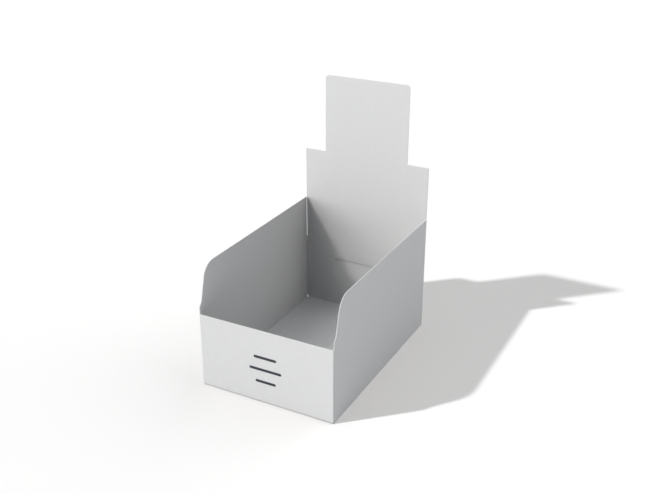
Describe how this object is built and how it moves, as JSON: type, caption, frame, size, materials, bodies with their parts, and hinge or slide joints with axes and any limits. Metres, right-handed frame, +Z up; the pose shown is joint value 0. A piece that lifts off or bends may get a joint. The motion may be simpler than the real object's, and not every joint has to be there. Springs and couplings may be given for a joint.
{
  "type": "counter display box",
  "caption": "Open counter display box folded from white board: low front, taller side walls with rounded front corners, and a stepped back rising to a header.",
  "frame": {"origin": "middle of the footprint, on the ground under the floor panel", "axes": "+Z up; the front panel faces -Y; +X to the right as seen from the front"},
  "size_m": [0.12, 0.1771, 0.221],
  "materials": {
    "white_board": "matt white folding board"
  },
  "bodies": {
    "root": {"display_box": "white_board"}
  },
  "joints": []
}
